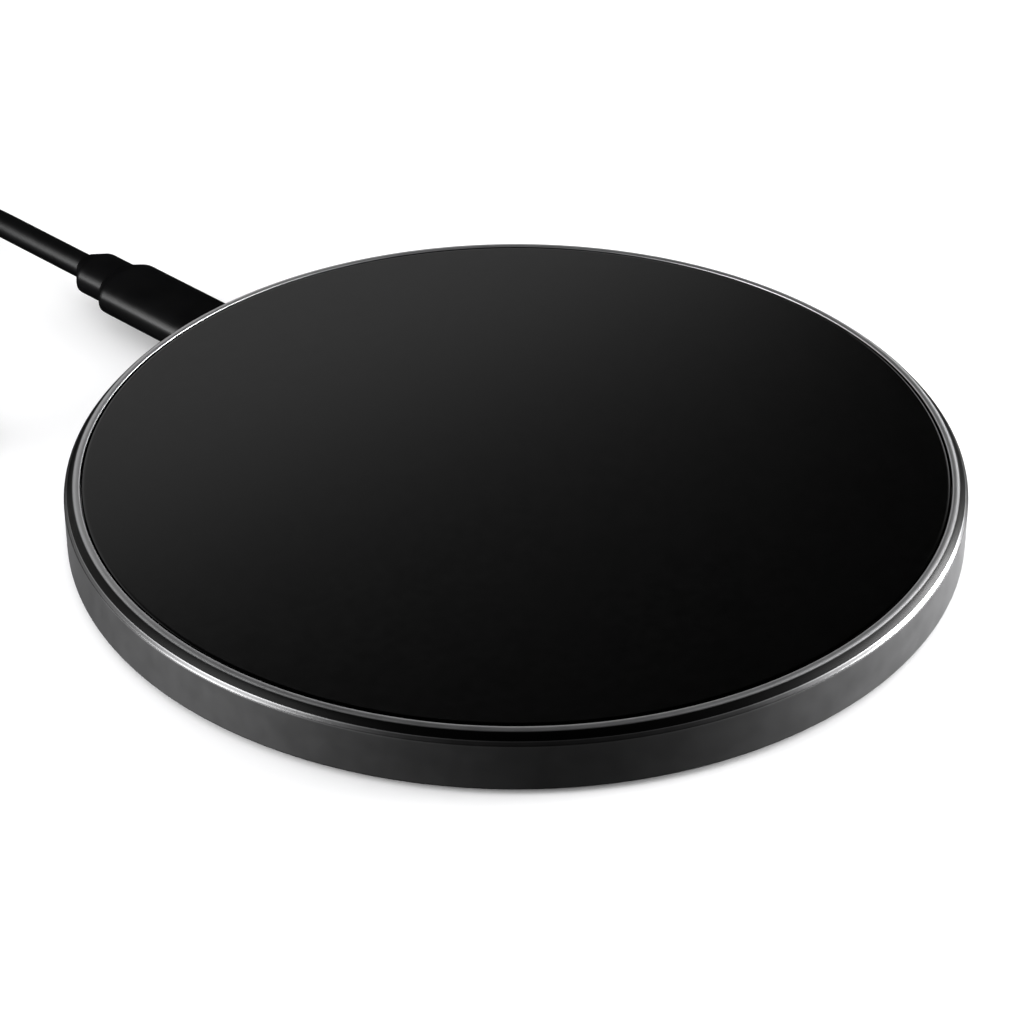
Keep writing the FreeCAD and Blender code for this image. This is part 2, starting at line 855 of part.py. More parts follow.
INDUCTOR_PLACE = (43.2, 115.5)
inductor_flanges = [
    board_box(
        f"inductor_flange_{end}",
        "dims.inductor_side",
        "dims.inductor_side",
        "dims.inductor_flange",
        *INDUCTOR_PLACE,
        level,
    )
    for end, level in (
        ("lower", "dims.board_top"),
        ("upper", "dims.board_top + dims.inductor_core_height"),
    )
]
inductor_core = make_cylinder(
    "inductor_core",
    "dims.inductor_core_radius",
    "dims.inductor_core_height",
    polar(*INDUCTOR_PLACE, size("dims.board_top")),
)
inductor = join("filter_inductor", [*inductor_flanges, inductor_core])

status_led = make_box(
    "status_led",
    "dims.led_width",
    "dims.led_depth",
    "dims.led_body_height",
    V(
        size("dims.led_offset - dims.led_width / 2"),
        size("dims.light_pipe_inner - dims.led_depth - dims.led_gap"),
        size("dims.board_top"),
    ),
)

# The light pipe is a rod cut flush with the outside of the pad.
ALONG_Y = FreeCAD.Rotation(V(1, 0, 0), -90)
pipe_place = V(size("dims.led_offset"), size("dims.light_pipe_inner"), size("dims.led_height"))
pipe_rod = make_cylinder(
    "pipe_rod",
    "dims.light_pipe_diameter / 2",
    "dims.pad_radius - dims.light_pipe_inner",
    pipe_place,
    ALONG_Y,
)
pad_envelope = make_cylinder("pad_envelope", "dims.pad_radius", "dims.pad_height")
light_pipe = doc.addObject("Part::Common", "led_light_pipe")
light_pipe.Base = pipe_rod
light_pipe.Tool = pad_envelope

# ----------------------------------------------------------------- coil stack

# The first turn begins inside the coil and its lead leaves through a slot in
# the ferrite, so every place below is in the coil's own turned frame.
COIL_FRAME = FreeCAD.Rotation(UP, size("dims.coil_angle"))
first_turn = size("dims.coil_inner_radius + dims.wire_diameter / 2")
inner_lead_x = first_turn - 2 * size("dims.inner_loop_radius")
last_turn = first_turn + size("dims.coil_turns * dims.coil_pitch")
coil_level = size(COIL_LEVEL)
lead_level = size(LEAD_LEVEL)


def turned_box(name, length, width, height, centre_x, start_y, level):
    """A box in the coil's frame, centred across the lead and starting at start_y."""
    corner = V(centre_x - size(length) / 2, start_y, level)
    return make_box(
        name, length, width, height, COIL_FRAME.multVec(corner), size("dims.coil_angle")
    )


tray_body = turned_body(
    "tray_cup",
    [
        ("dims.tray_hole_radius", COVER_TOP),
        ("dims.tray_radius", COVER_TOP),
        ("dims.tray_radius", "dims.tray_wall_top"),
        ("dims.tray_bore_radius", "dims.tray_wall_top"),
        ("dims.tray_bore_radius", "dims.tray_floor_top"),
        ("dims.tray_hole_radius", "dims.tray_floor_top"),
    ],
)
tray_slot = turned_box(
    "tray_slot",
    "dims.lead_slot_width",
    "dims.tray_radius",
    "dims.tray_wall_top",
    inner_lead_x,
    size("dims.tray_bore_radius - dims.cut_past"),
    size("dims.tray_floor_top"),
)
tray = cut("coil_tray", tray_body, tray_slot)

ferrite_disc = make_cylinder(
    "ferrite_disc",
    "dims.ferrite_radius",
    "dims.ferrite_thickness",
    V(0, 0, size("dims.tray_floor_top")),
)
ferrite_slot = turned_box(
    "ferrite_slot",
    "dims.lead_slot_width",
    "dims.ferrite_radius + dims.cut_past",
    "dims.ferrite_thickness",
    inner_lead_x,
    0.0,
    size("dims.tray_floor_top"),
)
ferrite = cut("ferrite_shield", ferrite_disc, ferrite_slot)

foam = make_cylinder(
    "coil_foam_pad",
    "dims.foam_radius",
    f"{GLASS_BOTTOM} - {FERRITE_TOP} - dims.wire_diameter",
    V(0, 0, size(f"{FERRITE_TOP} + dims.wire_diameter")),
)


def rounded_path(points, share=0.45):
    """Straight runs joined by tangent arcs; also returns the arc radii and length."""
    edges = []
    radii = []
    start = points[0]
    for before, corner, after in zip(points, points[1:], points[2:]):
        back = (before - corner).normalize()
        onward = (after - corner).normalize()
        setback = share * min((corner - before).Length, (after - corner).Length)
        half_turn = (math.pi - back.getAngle(onward)) / 2
        radius = setback / math.tan(half_turn)
        radii.append(radius)
        arc_start = corner + back * setback
        arc_end = corner + onward * setback
        bisector = (back + onward).normalize()
        centre = corner + bisector * (radius / math.cos(half_turn))
        arc_middle = centre - bisector * radius
        edges.append(Part.LineSegment(start, arc_start).toShape())
        edges.append(Part.Arc(arc_start, arc_middle, arc_end).toShape())
        start = arc_end
    edges.append(Part.LineSegment(start, points[-1]).toShape())
    return edges, radii


def round_tube(edges, diameter):
    """Round section swept along the edges, checked against section times length."""
    wire = Part.Wire(edges)
    first = edges[0]
    direction = first.tangentAt(first.FirstParameter)
    start = first.valueAt(first.FirstParameter)
    ring = Part.Wire([Part.Circle(start, direction, diameter / 2).toShape()])
    tube = wire.makePipeShell([ring], True, False)
    expected = math.pi * diameter ** 2 / 4 * wire.Length
    if abs(tube.Volume - expected) > 0.02 * expected:
        raise RuntimeError(f"tube volume {tube.Volume} is not {expected}")
    return tube, wire.Length


def half_circle(centre_x, radius, from_right):
    """Upper half circle walked from the right, or lower half from the left."""
    sign = 1 if from_right else -1
    return Part.Arc(
        V(centre_x + sign * radius, 0, coil_level),
        V(centre_x, sign * radius, coil_level),
        V(centre_x - sign * radius, 0, coil_level),
    ).toShape()


bend_run = size("dims.lead_bend_run")
inner_bend = 2 * size("dims.wire_diameter")
inner_lead_end = size("dims.inner_lead_end")
inner_lead_edges, _ = rounded_path(
    [
        V(inner_lead_x, inner_lead_end, lead_level),
        V(inner_lead_x, inner_bend + bend_run, lead_level),
        V(inner_lead_x, inner_bend, coil_level),
        V(inner_lead_x, 0, coil_level),
    ]
)
coil_edges = list(inner_lead_edges)
inner_loop_radius = size("dims.inner_loop_radius")
coil_edges.append(half_circle(first_turn - inner_loop_radius, inner_loop_radius, False))
half_pitch = size("dims.coil_pitch") / 2
for step in range(2 * int(size("dims.coil_turns"))):
    from_right = step % 2 == 0
    centre_x = 0.0 if from_right else half_pitch
    coil_edges.append(half_circle(centre_x, first_turn + step * half_pitch, from_right))
outer_bend_start = size("dims.outer_lead_bend")
outer_lead_end = size("dims.outer_lead_end")
outer_lead_edges, _ = rounded_path(
    [
        V(last_turn, 0, coil_level),
        V(last_turn, outer_bend_start, coil_level),
        V(last_turn, outer_bend_start + bend_run, lead_level),
        V(last_turn, outer_lead_end, lead_level),
    ]
)
coil_edges += outer_lead_edges

coil_shape, coil_wire_length = round_tube(coil_edges, size("dims.wire_diameter"))
winding = doc.addObject("Part::Feature", "coil_winding")
winding.Shape = coil_shape
winding.Placement = FreeCAD.Placement(V(), COIL_FRAME)

solder_from_end = size("dims.solder_from_end")
solder_places = (
    V(inner_lead_x, inner_lead_end - solder_from_end, 0),
    V(last_turn, outer_lead_end - solder_from_end, 0),
)
solder_blobs = [
    make_cone(
        f"solder_blob_{number}",
        "dims.solder_foot_radius",
        "dims.solder_top_radius",
        "dims.solder_height",
        COIL_FRAME.multVec(place) + V(0, 0, size("dims.board_top")),
    )
    for number, place in enumerate(solder_places, start=1)
]
solder_tool = join("solder_blobs", solder_blobs)
solder = cut("solder_joints", solder_tool, winding)

# ------------------------------------------------------------- charging plug

plug_shell = slot_prism(
    "plug_shell",
    "dims.plug_tip",
    PLUG_SHELL_REAR,
    "dims.plug_shell_width",
    "dims.plug_shell_thickness",
    "dims.port_height",
)
slot_pocket(
    plug_shell,
    "dims.plug_tip - dims.cut_past",
    f"{PLUG_SHELL_REAR} - dims.plug_tip + 2 * dims.cut_past",
    PLUG_INNER_WIDTH,
    PLUG_INNER_THICKNESS,
    "dims.port_height",
)

PLUG_INSULATOR_FRONT = "(dims.plug_tip + dims.plug_shell_wall)"
plug_insulator = slot_prism(
    "plug_insulator",
    PLUG_INSULATOR_FRONT,
    PLUG_SHELL_REAR,
    PLUG_INNER_WIDTH,
    PLUG_INNER_THICKNESS,
    "dims.port_height",
)
slot_pocket(
    plug_insulator,
    f"{PLUG_INSULATOR_FRONT} - dims.cut_past",
    "dims.plug_slot_depth + dims.cut_past",
    "dims.plug_slot_width",
    "dims.plug_slot_thickness",
    "dims.port_height",
)

SLOT_HIGH = "dims.port_height + dims.plug_slot_thickness / 2"
SLOT_LOW = "dims.port_height - dims.plug_slot_thickness / 2"
plug_contacts = contact_rows(
    "plug_contacts",
    size(f"{PLUG_INSULATOR_FRONT} + dims.plug_contact_setback"),
    (size(f"{SLOT_HIGH} - dims.contact_thickness"), size(SLOT_LOW)),
    CONTACT_COUNT,
    "dims.contact_pitch",
    "dims.contact_width",
    "dims.contact_length",
    "dims.contact_thickness",
)

plug_body = slot_loft(
    "plug_body",
    [
        (
            "dims.plug_body_front",
            "dims.plug_body_width - 2 * dims.plug_mouth_round",
            "dims.plug_body_thickness - 2 * dims.plug_mouth_round",
        ),
        (
            "dims.plug_body_front + dims.plug_mouth_round",
            "dims.plug_body_width",
            "dims.plug_body_thickness",
        ),
        ("dims.plug_body_shoulder", "dims.plug_body_width", "dims.plug_body_thickness"),
        (
            "dims.plug_body_rear",
            "dims.plug_neck_width + 0.2",
            "dims.plug_neck_thickness + 0.2",
        ),
    ],
    "dims.port_height",
)
slot_pocket(
    plug_body,
    "dims.plug_body_front - dims.cut_past",
    "dims.plug_shell_bury + dims.cut_past",
    "dims.plug_shell_width",
    "dims.plug_shell_thickness",
    "dims.port_height",
)
round_pocket(
    plug_body,
    "dims.plug_body_rear - dims.cord_bury",
    "dims.cord_bury + dims.cut_past",
    "dims.cord_diameter",
    "0",
    "dims.port_height",
)

plug_neck = slot_loft(
    "plug_strain_relief",
    [
        ("dims.plug_body_rear", "dims.plug_neck_width", "dims.plug_neck_thickness"),
        ("dims.plug_neck_shoulder", "dims.plug_neck_width", "dims.plug_neck_thickness"),
        (
            "dims.plug_neck_rear",
            "dims.cord_diameter + 0.4",
            "dims.cord_diameter + 0.3",
        ),
    ],
    "dims.port_height",
)
round_pocket(
    plug_neck,
    "dims.plug_body_rear - dims.cut_past",
    "dims.plug_neck_rear - dims.plug_body_rear + 2 * dims.cut_past",
    "dims.cord_diameter",
    "0",
    "dims.port_height",
)

# ----------------------------------------------------------------- coiled lead

cord_diameter = size("dims.cord_diameter")
coil_centre = V(-size(OUTER_TURN), size("dims.coil_centre_along"), 0)
RING_INNER = "(dims.coil_middle_radius - 1.5 * dims.cord_diameter)"
RING_OUTER = "(dims.coil_middle_radius + 1.5 * dims.cord_diameter)"
RING_HEIGHT = "(3 * dims.cord_diameter)"


def bevelled_section(inner, outer, low, high, corner):
    """Rectangle with cut corners, as expressions."""
    return [
        (f"{inner} + {corner}", low),
        (f"{outer} - {corner}", low),
        (outer, f"{low} + {corner}"),
        (outer, f"{high} - {corner}"),
        (f"{outer} - {corner}", high),
        (f"{inner} + {corner}", high),
        (inner, f"{high} - {corner}"),
        (inner, f"{low} + {corner}"),
    ]


ring_body = turned_body(
    "coiled_turns",
    bevelled_section(RING_INNER, RING_OUTER, "0", RING_HEIGHT, "dims.coil_corner"),
)
ring_body.Placement = FreeCAD.Placement(coil_centre, FreeCAD.Rotation())

# The strap goes round the turns at the side of the coil that faces the pad.
tie_sketch_frame = FreeCAD.Placement(coil_centre, FreeCAD.Rotation(UP, -90))


def strap_solid(name, inner, outer, low, high, corner):
    """Bar across the coil's section, as wide as the strap."""
    body = new_body(name)
    sketch = new_sketch(body, "XZ_Plane")
    draw_polygon(sketch, bevelled_section(inner, outer, low, high, corner))
    pad = add_pad(body, sketch, "dims.tie_width")
    pad.Midplane = True
    doc.recompute()
    body.Placement = tie_sketch_frame
    return body


STAND = "dims.tie_stand_out"
SINK = "(dims.tie_thickness - dims.tie_stand_out)"
strap_outside = strap_solid(
    "strap_outside",
    f"({RING_INNER} - {STAND})",
    f"({RING_OUTER} + {STAND})",
    "0",
    f"({RING_HEIGHT} + {STAND})",
    "dims.coil_corner",
)
strap_inside = strap_solid(
    "strap_inside",
    f"({RING_INNER} + {SINK})",
    f"({RING_OUTER} - {SINK})",
    "dims.tie_thickness",
    f"({RING_HEIGHT} - {SINK})",
    "dims.coil_corner",
)
cable_tie = cut("cable_tie", strap_outside, strap_inside)
cable_coil = cut("cable_coil", ring_body, cable_tie)

# Route of the lead from the plug to the coil, and from the coil to the far plug.
port_height = size("dims.port_height")
table_level = cord_diameter / 2
cord_start = size("dims.plug_body_rear - dims.cord_bury")
run_points = [
    V(0, cord_start, port_height),
    V(0, size("dims.cord_level_end"), port_height),
    V(0, size("dims.cord_table_start"), table_level),
    V(0, size("dims.cord_run_end"), table_level),
]
usb_a_axis_x = 2 * coil_centre.x
usb_a_height = size("dims.usb_a_height")
top_turn_level = 2.5 * cord_diameter
tail_points = [
    V(usb_a_axis_x, size("dims.cord_run_end"), top_turn_level),
    V(usb_a_axis_x, size("dims.tail_level_end"), top_turn_level),
    V(usb_a_axis_x, size("dims.tail_slope_end"), usb_a_height),
    V(usb_a_axis_x, size("dims.usb_a_body_rear"), usb_a_height),
]


def cord_piece(name, points):
    """Round tube along a route, without the part that lies inside the coil."""
    edges, radii = rounded_path(points)
    tube, length = round_tube(edges, cord_diameter)
    print(name, "length", round(length, 1), "arc radii", [round(r, 1) for r in radii])
    whole = doc.addObject("Part::Feature", f"{name}_whole")
    whole.Shape = tube
    return cut(name, whole, ring_body)


cable_run = cord_piece("cable_run", run_points)
cable_tail = cord_piece("cable_tail", tail_points)

# --------------------------------------------------------- computer-end plug


def place_usb_a(body):
    """Move a piece built on the plane x = 0 to the axis of the computer-end plug."""
    body.Placement = FreeCAD.Placement(V(usb_a_axis_x, 0, 0), FreeCAD.Rotation())


USB_A_SHELL_FRONT = f"({USB_A_FRONT} - dims.usb_a_shell_exposed)"
USB_A_SHELL_REAR = f"({USB_A_FRONT} + dims.usb_a_shell_bury)"
USB_A_INNER_WIDTH = "(dims.usb_a_shell_width - 2 * dims.usb_a_shell_wall)"
USB_A_INNER_THICKNESS = "(dims.usb_a_shell_thickness - 2 * dims.usb_a_shell_wall)"
USB_A_INNER_FLOOR = f"(dims.usb_a_height - {USB_A_INNER_THICKNESS} / 2)"


def rectangle(width, low, high):
    """Corners of a rectangle centred across, as expressions."""
    return [
        (f"-{width} / 2", low),
        (f"{width} / 2", low),
        (f"{width} / 2", high),
        (f"-{width} / 2", high),
    ]


def centred_rectangle(width, thickness):
    """Corners of a rectangle about the axis of the computer-end plug."""
    half = f"{thickness} / 2"
    return rectangle(width, f"dims.usb_a_height - {half}", f"dims.usb_a_height + {half}")


def prism_along_y(name, corners, start, end):
    """Polygon section run along +Y from start to end."""
    body = new_body(name)
    sketch = new_sketch(body, "XZ_Plane", f"-({start})")
    draw_polygon(sketch, corners)
    add_pad(body, sketch, f"({end}) - ({start})", backwards=True)
    doc.recompute()
    return body


usb_a_body = slot_loft(
    "usb_a_body",
    [
        (
            USB_A_FRONT,
            "dims.usb_a_body_width - 2 * dims.usb_a_mouth_bevel",
            "dims.usb_a_body_thickness - 2 * dims.usb_a_mouth_bevel",
        ),
        (
            f"{USB_A_FRONT} + dims.usb_a_mouth_bevel",
            "dims.usb_a_body_width",
            "dims.usb_a_body_thickness",
        ),
        (
            "dims.usb_a_body_rear - dims.usb_a_shoulder",
            "dims.usb_a_body_width",
            "dims.usb_a_body_thickness",
        ),
        ("dims.usb_a_body_rear", "dims.usb_a_rear_width", "dims.usb_a_rear_thickness"),
    ],
    "dims.usb_a_height",
)
shell_bore_sketch = new_sketch(usb_a_body, "XZ_Plane", f"-({USB_A_FRONT} - dims.cut_past)")
draw_polygon(
    shell_bore_sketch,
    centred_rectangle("dims.usb_a_shell_width", "dims.usb_a_shell_thickness"),
)
add_pocket(usb_a_body, shell_bore_sketch, "dims.usb_a_shell_bury + dims.cut_past")
place_usb_a(usb_a_body)

usb_a_shell = prism_along_y(
    "usb_a_shell",
    centred_rectangle("dims.usb_a_shell_width", "dims.usb_a_shell_thickness"),
    USB_A_SHELL_FRONT,
    USB_A_SHELL_REAR,
)
shell_inside_sketch = new_sketch(
    usb_a_shell, "XZ_Plane", f"-({USB_A_SHELL_FRONT} - dims.cut_past)"
)
draw_polygon(
    shell_inside_sketch, centred_rectangle(USB_A_INNER_WIDTH, USB_A_INNER_THICKNESS)
)
add_pocket(
    usb_a_shell,
    shell_inside_sketch,
    f"{USB_A_SHELL_REAR} - {USB_A_SHELL_FRONT} + 2 * dims.cut_past",
)
# Two square latch windows through the top wall of the shell.
LATCH_NEAR = f"({USB_A_SHELL_FRONT} + dims.latch_setback)"
LATCH_FAR = f"({LATCH_NEAR} + dims.latch_side)"
latch_windows = new_sketch(usb_a_shell, "XY_Plane", "dims.usb_a_height")
for side in (-1, 1):
    left_edge = f"({side} * dims.latch_offset - dims.latch_side / 2)"
    right_edge = f"({side} * dims.latch_offset + dims.latch_side / 2)"
    draw_polygon(
        latch_windows,
        [
            (left_edge, LATCH_NEAR),
            (right_edge, LATCH_NEAR),
            (right_edge, LATCH_FAR),
            (left_edge, LATCH_FAR),
        ],
    )
add_pocket(usb_a_shell, latch_windows, "dims.usb_a_shell_thickness", backwards=True)
place_usb_a(usb_a_shell)

usb_a_insulator = prism_along_y(
    "usb_a_insulator",
    rectangle(
        USB_A_INNER_WIDTH,
        USB_A_INNER_FLOOR,
        f"{USB_A_INNER_FLOOR} + dims.usb_a_tongue_thickness",
    ),
    f"{USB_A_SHELL_FRONT} + dims.usb_a_tongue_setback",
    USB_A_SHELL_REAR,
)
block_sketch = new_sketch(usb_a_insulator, "XZ_Plane", f"-({USB_A_FRONT})")
draw_polygon(
    block_sketch, centred_rectangle(USB_A_INNER_WIDTH, USB_A_INNER_THICKNESS)
)
add_pad(
    usb_a_insulator, block_sketch, f"{USB_A_SHELL_REAR} - {USB_A_FRONT}", backwards=True
)
place_usb_a(usb_a_insulator)

usb_a_contacts = contact_rows(
    "usb_a_contacts",
    size(f"{USB_A_SHELL_FRONT} + dims.usb_a_contact_setback"),
    (size(f"{USB_A_INNER_FLOOR} + dims.usb_a_tongue_thickness"),),
    4,
    "dims.usb_a_contact_pitch",
    "dims.usb_a_contact_width",
    "dims.usb_a_contact_length",
    "dims.usb_a_contact_thickness",
    usb_a_axis_x,
)

relief_place = V(usb_a_axis_x, size("dims.usb_a_body_rear"), usb_a_height)
relief_cone = make_cone(
    "relief_cone",
    "dims.usb_a_relief_front_diameter / 2",
    "dims.usb_a_relief_rear_diameter / 2",
    "dims.usb_a_relief_length",
    relief_place,
    ALONG_Y,
)
relief_bore = make_cylinder(
    "relief_bore",
    "dims.cord_diameter / 2",
    "dims.usb_a_relief_length",
    relief_place,
    ALONG_Y,
)
usb_a_relief = cut("usb_a_strain_relief", relief_cone, relief_bore)

# -------------------------------------------------------------------- writing

NODES = [
    housing,
    glass,
    adhesive,
    cover,
    slip_ring,
    cover_screw_node,
    board,
    board_screw_node,
    socket_shell,
    socket_insulator,
    socket_contacts,
    controller,
    mosfets,
    resonant_capacitors,
    input_capacitors,
    inductor,
    chip_resistors,
    status_led,
    light_pipe,
    tray,
    ferrite,
    winding,
    foam,
    solder,
    plug_shell,
    plug_insulator,
    plug_contacts,
    plug_body,
    plug_neck,
    cable_run,
    cable_coil,
    cable_tie,
    cable_tail,
    usb_a_relief,
    usb_a_body,
    usb_a_shell,
    usb_a_insulator,
    usb_a_contacts,
]

doc.recompute()
for item in doc.Objects:
    if "Invalid" in item.State or "Error" in item.State:
        raise RuntimeError(f"{item.Name} is in state {item.State}")
for node in NODES:
    shape = node.Shape
    if shape.isNull() or not shape.isValid():
        raise RuntimeError(f"{node.Label} has no valid shape")
    shape.exportStep(f"parts/{node.Label}.step")
    print(node.Label, len(shape.Solids), round(shape.Volume, 2))
print("wire in the charging coil", round(coil_wire_length, 1))
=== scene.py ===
import json
import math

import bmesh
import bpy
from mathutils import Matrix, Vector


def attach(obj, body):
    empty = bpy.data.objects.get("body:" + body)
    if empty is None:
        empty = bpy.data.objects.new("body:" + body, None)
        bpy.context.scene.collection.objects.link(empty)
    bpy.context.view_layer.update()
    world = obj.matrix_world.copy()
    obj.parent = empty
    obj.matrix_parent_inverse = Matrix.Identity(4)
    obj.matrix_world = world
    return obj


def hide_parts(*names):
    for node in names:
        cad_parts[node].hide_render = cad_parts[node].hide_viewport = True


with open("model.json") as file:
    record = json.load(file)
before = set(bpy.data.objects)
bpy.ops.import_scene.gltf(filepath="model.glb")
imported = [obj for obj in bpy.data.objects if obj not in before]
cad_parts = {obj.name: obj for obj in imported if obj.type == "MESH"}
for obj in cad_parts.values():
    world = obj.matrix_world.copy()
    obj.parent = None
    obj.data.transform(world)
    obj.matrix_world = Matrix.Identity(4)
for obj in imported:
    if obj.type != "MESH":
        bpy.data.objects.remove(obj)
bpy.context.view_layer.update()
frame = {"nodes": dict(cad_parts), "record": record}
nodes = frame["nodes"]

MM = 0.001

# ------------------------------------------------------------------ camera

CAMERA_AZIMUTH = math.radians(-47.0)
CAMERA_ELEVATION = math.radians(34.0)
CAMERA_DISTANCE = 0.400

camera_data = bpy.data.cameras.new("camera")
camera_data.sensor_width = 36.0
camera_data.lens = 125.5
camera_data.shift_x = -0.0040
camera_data.shift_y = 0.0048
camera_data.clip_start = 0.01
camera_data.clip_end = 10.0
camera = bpy.data.objects.new("camera", camera_data)
bpy.context.scene.collection.objects.link(camera)
camera_way = Vector(
    (
        math.sin(CAMERA_AZIMUTH) * math.cos(CAMERA_ELEVATION),
        -math.cos(CAMERA_AZIMUTH) * math.cos(CAMERA_ELEVATION),
        math.sin(CAMERA_ELEVATION),
    )
)
camera.location = camera_way * CAMERA_DISTANCE
camera.rotation_mode = "QUATERNION"
camera.rotation_quaternion = (-camera_way).to_track_quat("-Z", "Y")
bpy.context.scene.camera = camera

# --------------------------------------------------------------------- lead

CORD_DIAMETER = 3.2 * MM
PORT_HEIGHT = 3.75 * MM
TABLE_LEVEL = CORD_DIAMETER / 2
MIDDLE_TURN = 17.3 * MM
OUTER_TURN = MIDDLE_TURN + CORD_DIAMETER
INNER_TURN = MIDDLE_TURN - CORD_DIAMETER
COIL_CENTRE = Vector((-OUTER_TURN, 124.0 * MM, 0.0))
SECOND_LAYER = TABLE_LEVEL + CORD_DIAMETER
THIRD_LAYER = SECOND_LAYER + CORD_DIAMETER

# Where each turn of the coil lies, as (radius, height), in the order it is wound.
TURNS = (
    (OUTER_TURN, TABLE_LEVEL),
    (MIDDLE_TURN, TABLE_LEVEL),
    (INNER_TURN, TABLE_LEVEL),
    (INNER_TURN, SECOND_LAYER),
    (INNER_TURN, THIRD_LAYER),
    (MIDDLE_TURN, THIRD_LAYER),
    (MIDDLE_TURN, SECOND_LAYER),
    (OUTER_TURN, SECOND_LAYER),
    (OUTER_TURN, THIRD_LAYER),
)
TURNS_ACROSS = 3
LAYERS = 3
POINTS_PER_TURN = 16
WOUND_TURNS = 8.5
CROSSOVER_SHARE = 0.3

USB_A_AXIS = -2 * OUTER_TURN
USB_A_HEIGHT = 4.0 * MM


def coil_points():
    """Control points of the wound part: each turn eases into the next near its end."""
    step = 2 * math.pi / POINTS_PER_TURN
    widen = 1 / math.cos(step / 2)
    points = []
    for index in range(int(WOUND_TURNS * POINTS_PER_TURN)):
        wound = (index + 0.5) / POINTS_PER_TURN
        turn = int(wound)
        radius, height = TURNS[turn]
        if turn + 1 < len(TURNS):
            ease = max(0.0, (wound - turn - 1 + CROSSOVER_SHARE) / CROSSOVER_SHARE)
            ease = ease * ease * (3 - 2 * ease)
            next_radius, next_height = TURNS[turn + 1]
            radius += (next_radius - radius) * ease
            height += (next_height - height) * ease
        angle = 2 * math.pi * wound
        points.append(
            COIL_CENTRE
            + Vector(
                (
                    radius * widen * math.cos(angle),
                    radius * widen * math.sin(angle),
                    height,
                )
            )
        )
    return points


def cord_curve(name, points, diameter):
    """A round cord along a smooth open spline with these control points."""
    data = bpy.data.curves.new(name, "CURVE")
    data.dimensions = "3D"
    spline = data.splines.new("NURBS")
    spline.points.add(len(points) - 1)
    for target, point in zip(spline.points, points):
        target.co = (*point, 1.0)
        target.radius = diameter / 2
    spline.order_u = 3
    spline.use_endpoint_u = True
    data.resolution_u = 6
    data.bevel_depth = 1.0
    data.bevel_resolution = 7
    data.use_fill_caps = True
    cord = bpy.data.objects.new(name, data)
    bpy.context.scene.collection.objects.link(cord)
    return cord


route = [
    Vector((0.0, 60.0 * MM, PORT_HEIGHT)),
    Vector((0.0, 82.0 * MM, PORT_HEIGHT)),
    Vector((0.0, 93.0 * MM, PORT_HEIGHT)),
    Vector((0.0, 104.0 * MM, TABLE_LEVEL)),
    Vector((0.0, 120.0 * MM, TABLE_LEVEL)),
]
route += coil_points()
route += [
    Vector((USB_A_AXIS, 120.0 * MM, THIRD_LAYER)),
    Vector((USB_A_AXIS, 110.0 * MM, THIRD_LAYER)),
    Vector((USB_A_AXIS, 102.0 * MM, USB_A_HEIGHT)),
    Vector((USB_A_AXIS, 90.0 * MM, USB_A_HEIGHT)),
]
lead_cord = cord_curve("lead_cord", route, CORD_DIAMETER)
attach(lead_cord, "lead")
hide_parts("cable_run", "cable_coil", "cable_tail")
# ------------------------------------------------------------ smooth shells

SUPPORT = 0.02 * MM
CORNER_STEPS = 5
CREASE = math.radians(32.0)


def eased_corners(corners, closed):
    """Rounds a run of corners: each is (point, how far the rounding reaches along its sides)."""
    count = len(corners)
    path = []
    for index, (corner, reach) in enumerate(corners):
        at_end = not closed and index in (0, count - 1)
        if reach == 0 or at_end:
            path.append(corner)
            continue
        back = (corners[index - 1][0] - corner).normalized()
        onward = (corners[(index + 1) % count][0] - corner).normalized()
        start = corner + back * reach
        end = corner + onward * reach
        path.append(start + back * SUPPORT)
        for step in range(CORNER_STEPS + 1):
            part = step / CORNER_STEPS
            path.append(
                start * (1 - part) ** 2 + corner * 2 * part * (1 - part) + end * part ** 2
            )
        path.append(end + onward * SUPPORT)
    return path


def finish_mesh(name, build, body, stands_for):
    """Turns a bmesh into a smooth piece with creased edges that rides on a body."""
    bmesh.ops.recalc_face_normals(build, faces=build.faces)
    for face in build.faces:
        face.smooth = True
    for edge in build.edges:
        if edge.is_manifold and edge.calc_face_angle() > CREASE:
            edge.smooth = False
    mesh = bpy.data.meshes.new(name)
    build.to_mesh(mesh)
    build.free()
    piece = bpy.data.objects.new(name, mesh)
    bpy.context.scene.collection.objects.link(piece)
    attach(piece, body)
    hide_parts(stands_for)
    return piece


def lathe(build, outline, segments):
    """Turns a closed outline of (radius, height) about the pad's axis."""
    rings = []
    for radius, height in outline:
        if radius < 1e-9:
            rings.append([build.verts.new((0.0, 0.0, height))])
            continue
        rings.append(
            [
                build.verts.new(
                    (
                        radius * math.cos(2 * math.pi * step / segments),
                        radius * math.sin(2 * math.pi * step / segments),
                        height,
                    )
                )
                for step in range(segments)
            ]
        )
    for ring, following in zip(rings, rings[1:] + rings[:1]):
        if len(ring) == 1 and len(following) == 1:
            continue
        for step in range(segments):
            after = (step + 1) % segments
            corners = []
            for vertex in (
                ring[step % len(ring)],
                ring[after % len(ring)],
                following[after % len(following)],
                following[step % len(following)],
            ):
                if vertex not in corners:
                    corners.append(vertex)
            build.faces.new(corners)


def slot_outline(width, thickness, steps=12):
    """Points round a flat slot with round ends, about the origin."""
    radius = thickness / 2
    reach = (width - thickness) / 2
    points = []
    for side, first in ((1, -math.pi / 2), (-1, math.pi / 2)):
        for step in range(steps + 1):
            angle = first + math.pi * step / steps
            points.append((side * reach + radius * math.cos(angle), radius * math.sin(angle)))
    return points


